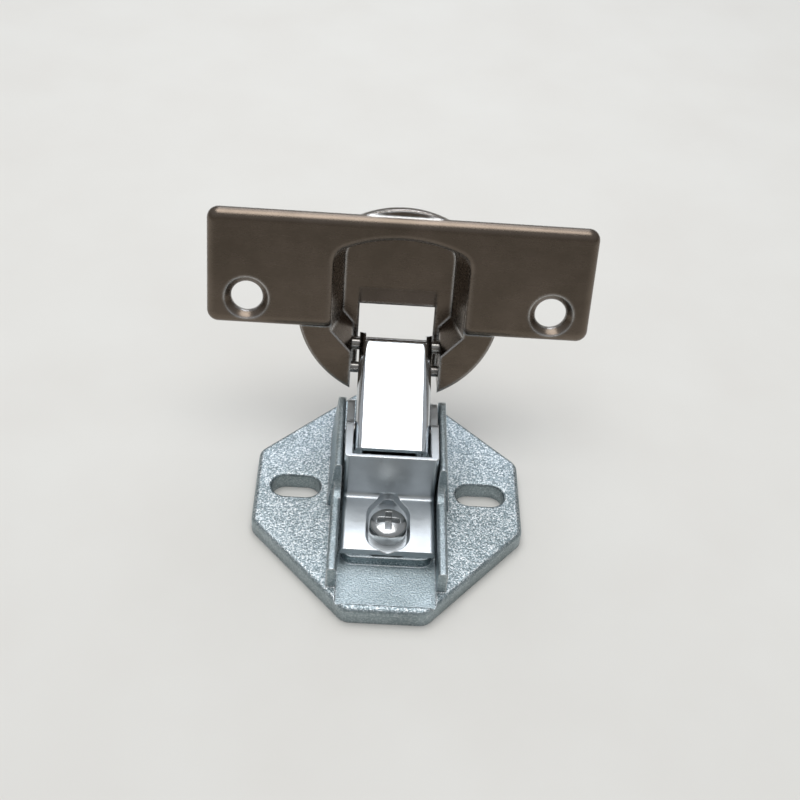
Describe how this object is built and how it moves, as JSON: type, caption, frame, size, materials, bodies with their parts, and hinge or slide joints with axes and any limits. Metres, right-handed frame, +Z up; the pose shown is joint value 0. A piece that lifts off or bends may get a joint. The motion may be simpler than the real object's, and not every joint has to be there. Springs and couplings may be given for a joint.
{
  "type": "cabinet hinge",
  "caption": "Concealed cup hinge for a cabinet door, with a winged cup, cranked arm on folding links, and a cast mounting plate.",
  "frame": {"origin": "underside of the mounting plate, midway between its two slots", "axes": "+X across the hinge; +Y from the clamp screw towards the cup; +Z up from the cabinet side that the plate lies on"},
  "size_m": [0.0656, 0.0584, 0.045],
  "materials": {
    "cast_nickel": "matte nickel plate over a casting",
    "bright_nickel": "bright nickel plate",
    "polished_nickel": "mirror nickel plate",
    "satin_nickel": "satin nickel plate",
    "pin_steel": "plated steel"
  },
  "bodies": {
    "base": {"base_plate": "cast_nickel", "clamp_screw": "bright_nickel"},
    "arm": {"arm": "bright_nickel", "arm_outer_pin": "pin_steel", "arm_inner_pin": "pin_steel"},
    "outer_link": {"outer_link": "polished_nickel"},
    "cup": {"cup": "satin_nickel", "cup_outer_pin": "pin_steel", "cup_inner_pin": "pin_steel"},
    "inner_link": {"inner_link": "satin_nickel"}
  },
  "joints": [
    {"name": "arm_adjust", "type": "slide", "parent": "base", "child": "arm", "axis": [0, 1, 0], "range_m": [0, 0.001]},
    {"name": "door_fold", "type": "hinge", "parent": "outer_link", "child": "cup", "pos_m": [0, 0.0223, 0.01738], "axis": [-1, 0, 0], "range_deg": [-14, 63.7]},
    {"name": "outer_link_fold", "type": "hinge", "parent": "arm", "child": "outer_link", "pos_m": [0, 0.0061, 0.0113], "axis": [-1, 0, 0], "range_deg": [-2.8, 12.4]},
    {"name": "inner_link_fold", "type": "hinge", "parent": "cup", "child": "inner_link", "pos_m": [0, 0.01991, 0.01375], "axis": [-1, 0, 0], "range_deg": [-84.6, 18.7]}
  ],
  "couplings": [
    {"joint": "outer_link_fold", "follows": "door_fold", "ratio": 0.1933},
    {"joint": "inner_link_fold", "follows": "door_fold", "ratio": -1.327}
  ]
}
